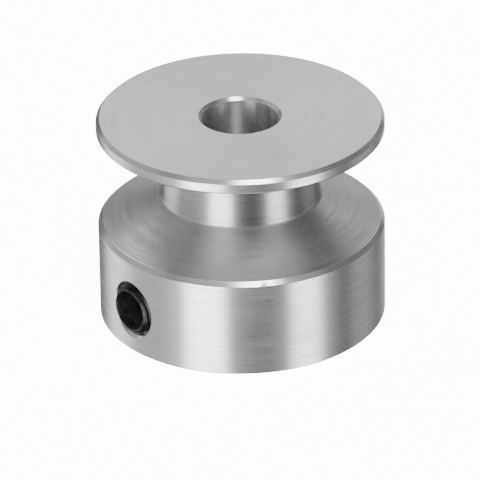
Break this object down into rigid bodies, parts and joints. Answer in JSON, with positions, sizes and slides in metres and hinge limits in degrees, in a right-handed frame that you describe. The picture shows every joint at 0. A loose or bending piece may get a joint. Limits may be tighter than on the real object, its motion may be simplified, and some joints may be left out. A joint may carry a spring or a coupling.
{
  "type": "v belt pulley",
  "caption": "Small turned aluminium V belt pulley with one groove, a plain hub, a straight through bore and a radial hex socket set screw.",
  "frame": {"origin": "centre of the hub's end face, on the shaft axis", "axes": "+Z along the shaft axis from the hub's end face towards the flange, -Y out through the set screw, +X to the right when facing the set screw"},
  "size_m": [0.03, 0.0303, 0.0224],
  "materials": {
    "turned_aluminium": "fine turned, bright, with circumferential tool marks",
    "black_oxide_steel": "black oxide, lightly oiled"
  },
  "bodies": {
    "pulley": {"pulley_body": "turned_aluminium"},
    "screw": {"set_screw": "black_oxide_steel"}
  },
  "joints": [
    {"name": "set_screw_travel", "type": "slide", "parent": "pulley", "child": "screw", "axis": [0, -1, 0], "range_m": [-0.004, 0.008]}
  ]
}
